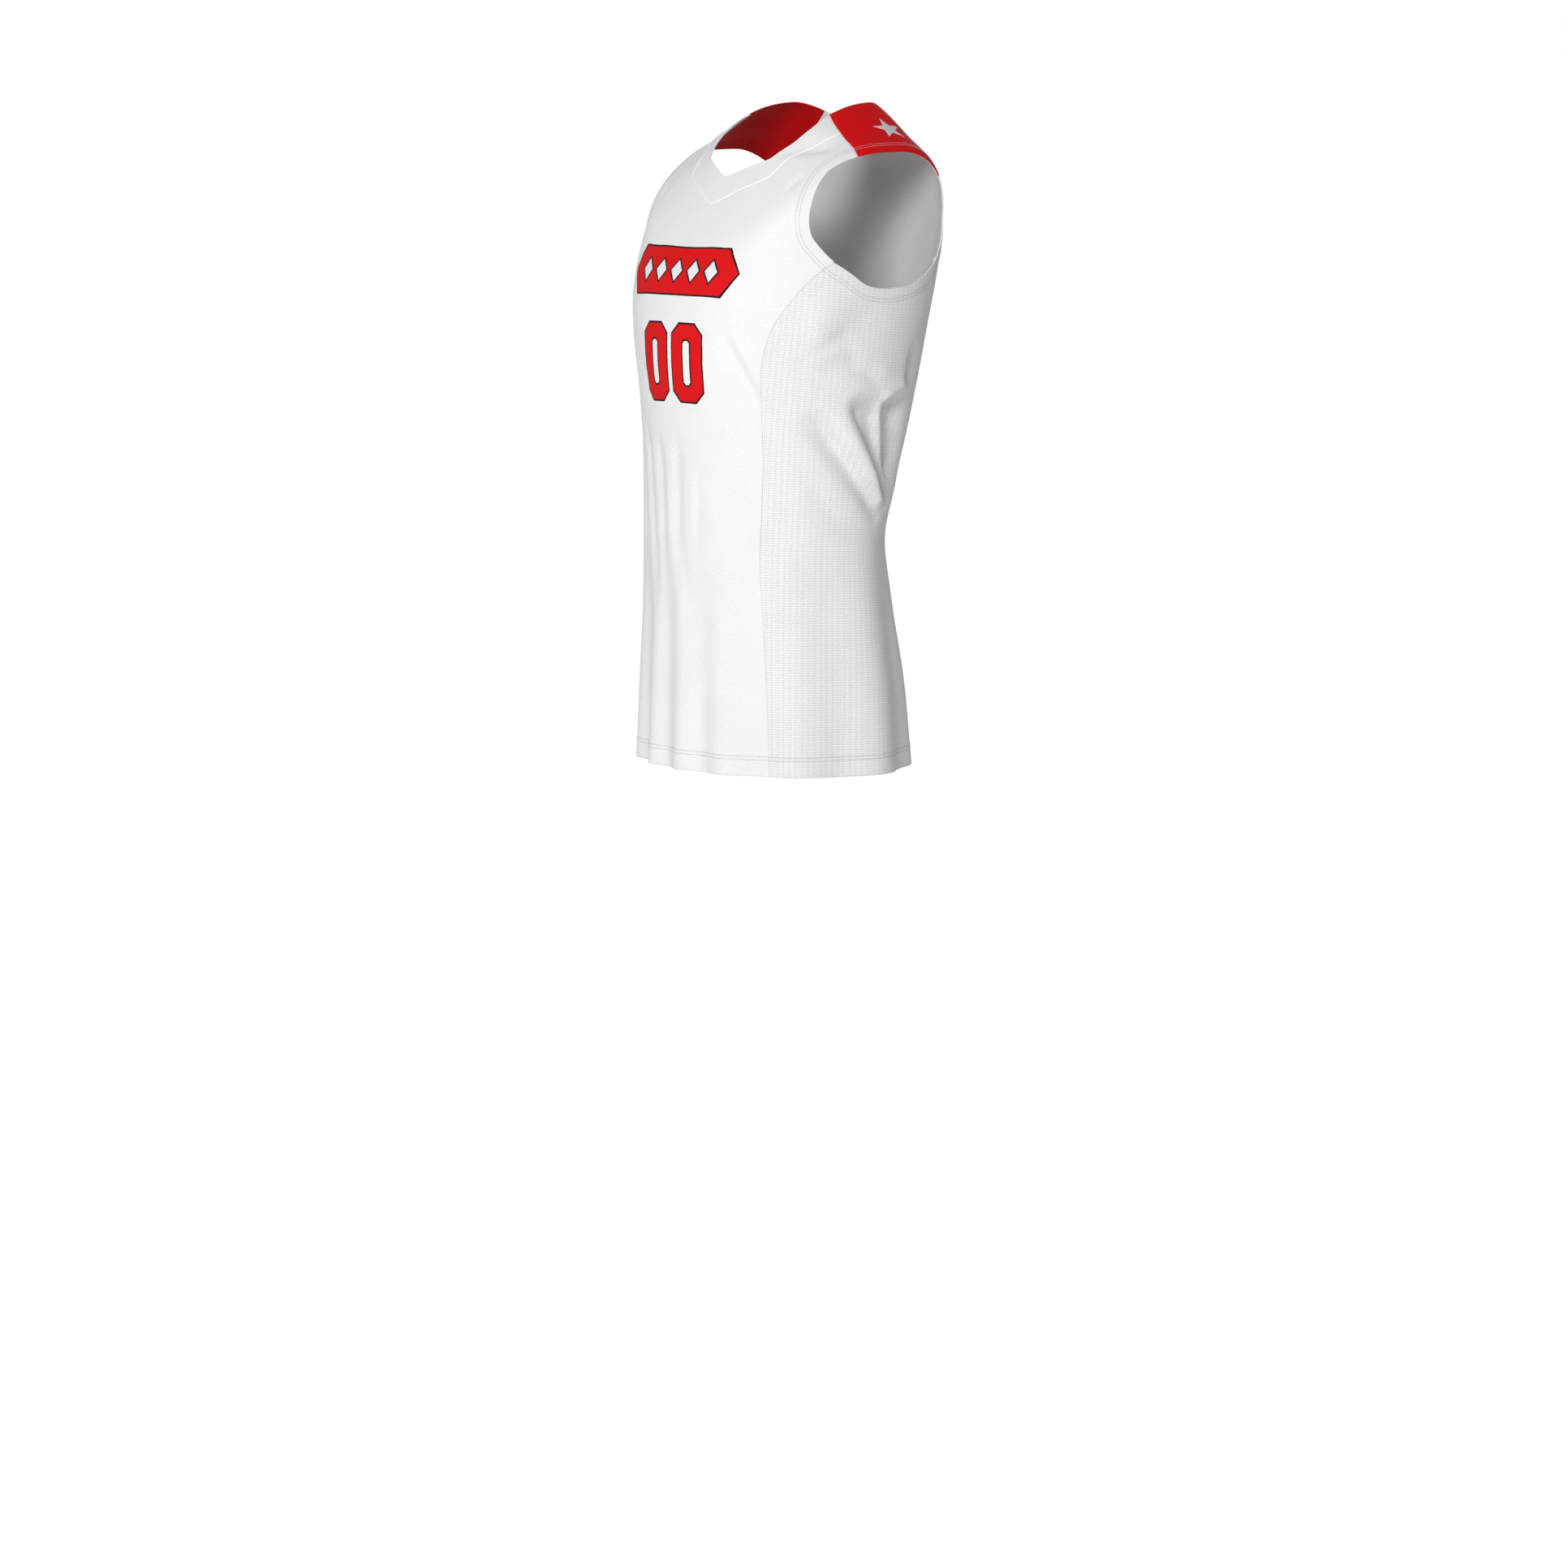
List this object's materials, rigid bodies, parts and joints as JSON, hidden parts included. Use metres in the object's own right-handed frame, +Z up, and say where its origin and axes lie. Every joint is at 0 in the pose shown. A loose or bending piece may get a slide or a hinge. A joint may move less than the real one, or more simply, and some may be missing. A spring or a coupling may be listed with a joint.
{
  "type": "basketball jersey",
  "caption": "Sleeveless V-neck basketball jersey in its worn, hollow form: white mesh-knit front, back and side panels, red shoulder yokes, open neck, armholes and hem.",
  "frame": {"origin": "midway between the two shoulder straps, on the level where they rest on the wearer's shoulders", "axes": "+Z up along the body, -Y the way the wearer faces, +X towards the wearer's left"},
  "size_m": [0.371, 0.3188, 0.7695],
  "materials": {
    "white_knit": "matte birdseye polyester knit",
    "white_mesh": "matte open polyester mesh knit",
    "red_knit": "matte polyester knit with a faint sheen"
  },
  "bodies": {
    "root": {"front_panel": "white_knit", "back_panel": "white_knit", "side_panel_left": "white_mesh", "side_panel_right": "white_mesh", "yoke_left": "red_knit", "yoke_right": "red_knit", "neckband": "white_knit"}
  },
  "joints": []
}
